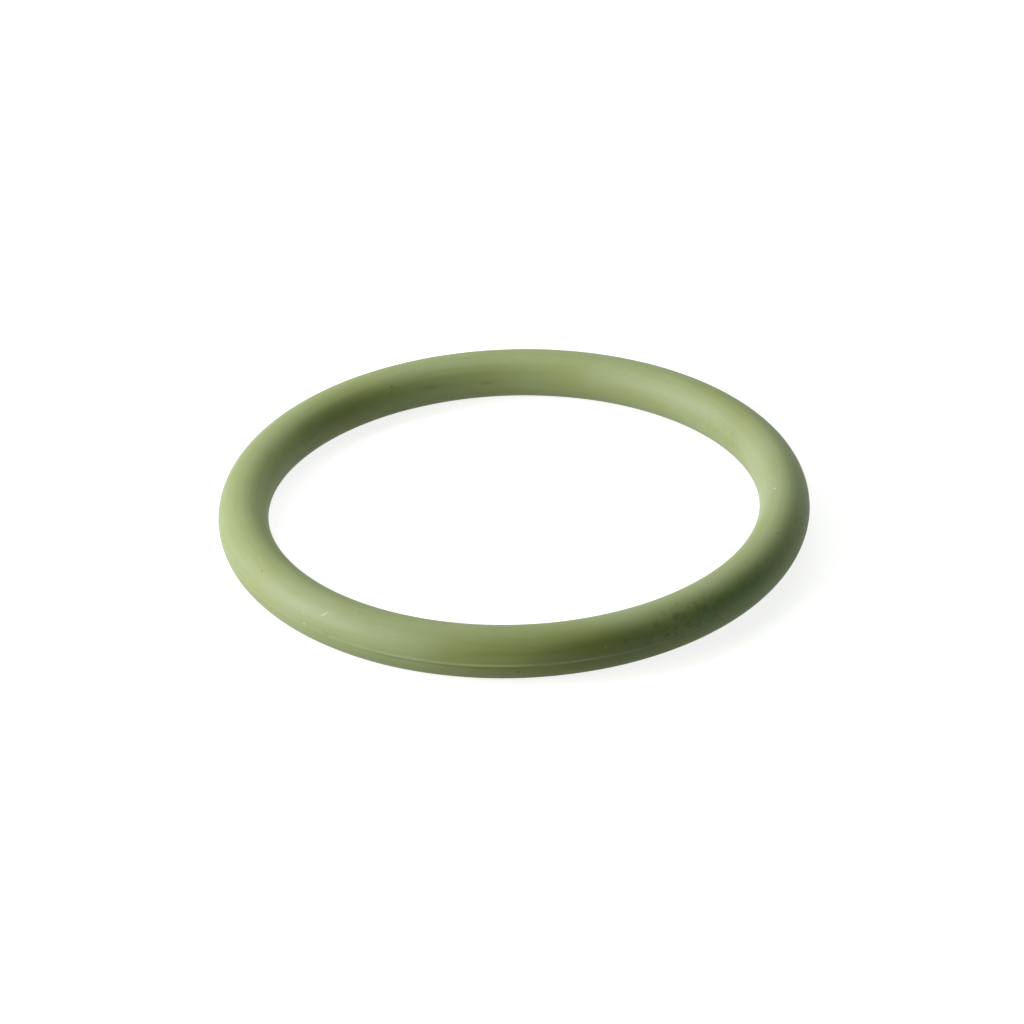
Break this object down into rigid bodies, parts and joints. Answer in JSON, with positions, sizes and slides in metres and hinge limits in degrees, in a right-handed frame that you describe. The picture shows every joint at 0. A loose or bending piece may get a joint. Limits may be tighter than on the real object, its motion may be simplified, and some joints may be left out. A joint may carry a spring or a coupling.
{
  "type": "o-ring",
  "caption": "Round-section green rubber O-ring with a fine moulding seam round its outside, squeezed between a spigot and a housing to seal a pipe joint.",
  "frame": {"origin": "centre of the ring, on the plane of its moulding seam, half a section above the surface that it lies on", "axes": "+Z along the ring's axis, which points up as the ring lies flat; X and Y lie in the plane of the ring and are alike"},
  "size_m": [0.0416, 0.0416, 0.0036],
  "materials": {
    "green_rubber": "satin"
  },
  "bodies": {
    "root": {"o_ring": "green_rubber"}
  },
  "joints": []
}
